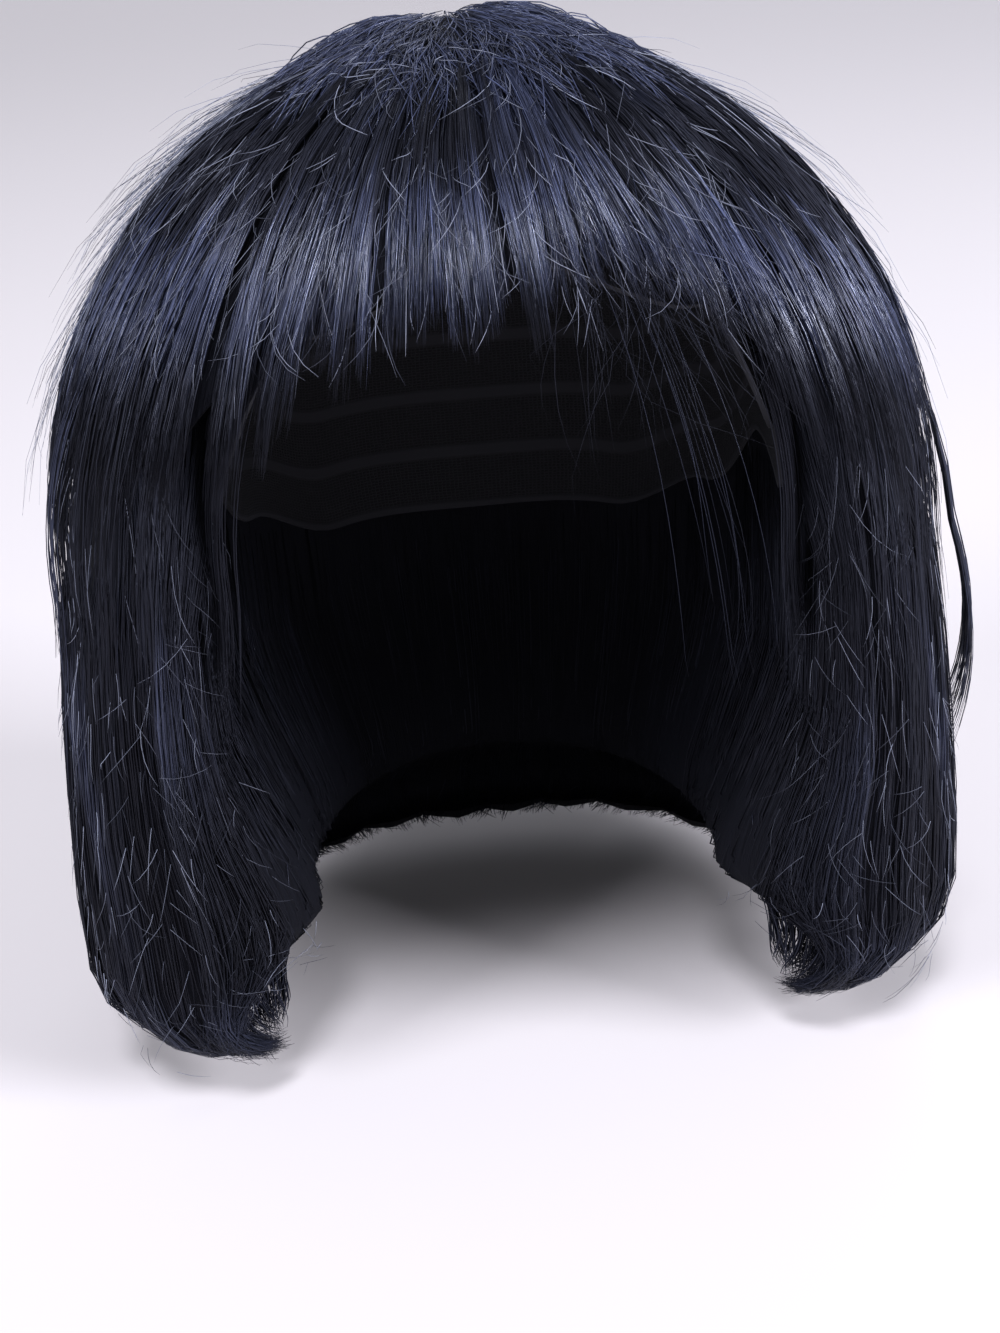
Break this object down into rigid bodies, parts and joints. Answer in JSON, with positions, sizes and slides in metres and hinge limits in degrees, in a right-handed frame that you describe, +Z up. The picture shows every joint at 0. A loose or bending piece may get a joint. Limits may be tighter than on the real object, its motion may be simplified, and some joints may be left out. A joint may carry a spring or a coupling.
{
  "type": "wig",
  "caption": "Chin-length bob wig with a choppy fringe, layered sides and ends that turn under, on a stretch net cap that is open below for the head.",
  "frame": {"origin": "the inside of the cap at the top of the head, where the head carries the wig", "axes": "+Z up, -Y to the front of the face, +X to the wearer's left"},
  "size_m": [0.2526, 0.2173, 0.27],
  "materials": {
    "hair": "silky black synthetic fibre with a blue sheen",
    "net": "matte stretch net"
  },
  "bodies": {
    "root": {"wig_cap": "net", "crown_tuft": "hair", "fringe": "hair", "upper_side_left": "hair", "upper_side_right": "hair", "upper_back": "hair", "side_hair_left": "hair", "side_hair_right": "hair", "back_hair": "hair"}
  },
  "joints": []
}
